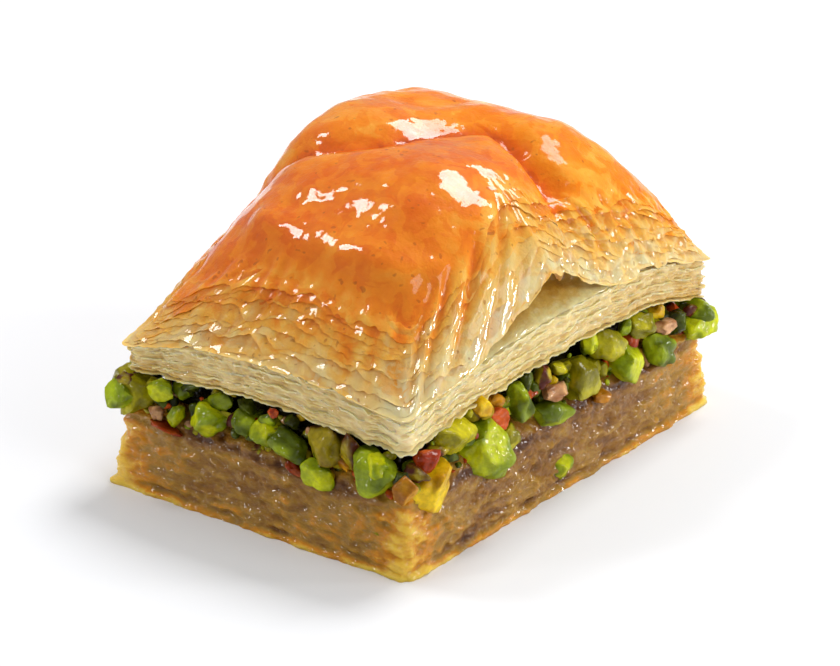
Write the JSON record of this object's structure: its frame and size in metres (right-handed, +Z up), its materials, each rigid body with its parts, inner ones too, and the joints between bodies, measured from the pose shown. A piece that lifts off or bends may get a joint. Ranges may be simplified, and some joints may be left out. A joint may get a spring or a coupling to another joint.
{
  "type": "pistachio baklava piece",
  "caption": "Oblong piece of pistachio baklava: a pressed, syrup-soaked base, a band of chopped pistachio and a puffed lid of thin glazed leaves.",
  "frame": {"origin": "middle of the flat underside, on the surface that the piece rests on", "axes": "+Z up, +Y along the long side towards the end away from the viewer, +X along the short side towards the face with the lifted leaf"},
  "size_m": [0.0441, 0.0606, 0.037],
  "materials": {
    "soaked_pastry": "wet, pressed pastry leaves soaked with syrup",
    "pistachio": "chopped pistachio, damp with syrup",
    "golden_pastry": "baked pastry leaves under a syrup glaze"
  },
  "bodies": {
    "root": {"base_pastry": "soaked_pastry", "pistachio_filling": "pistachio", "lid_pastry": "golden_pastry"}
  },
  "joints": []
}
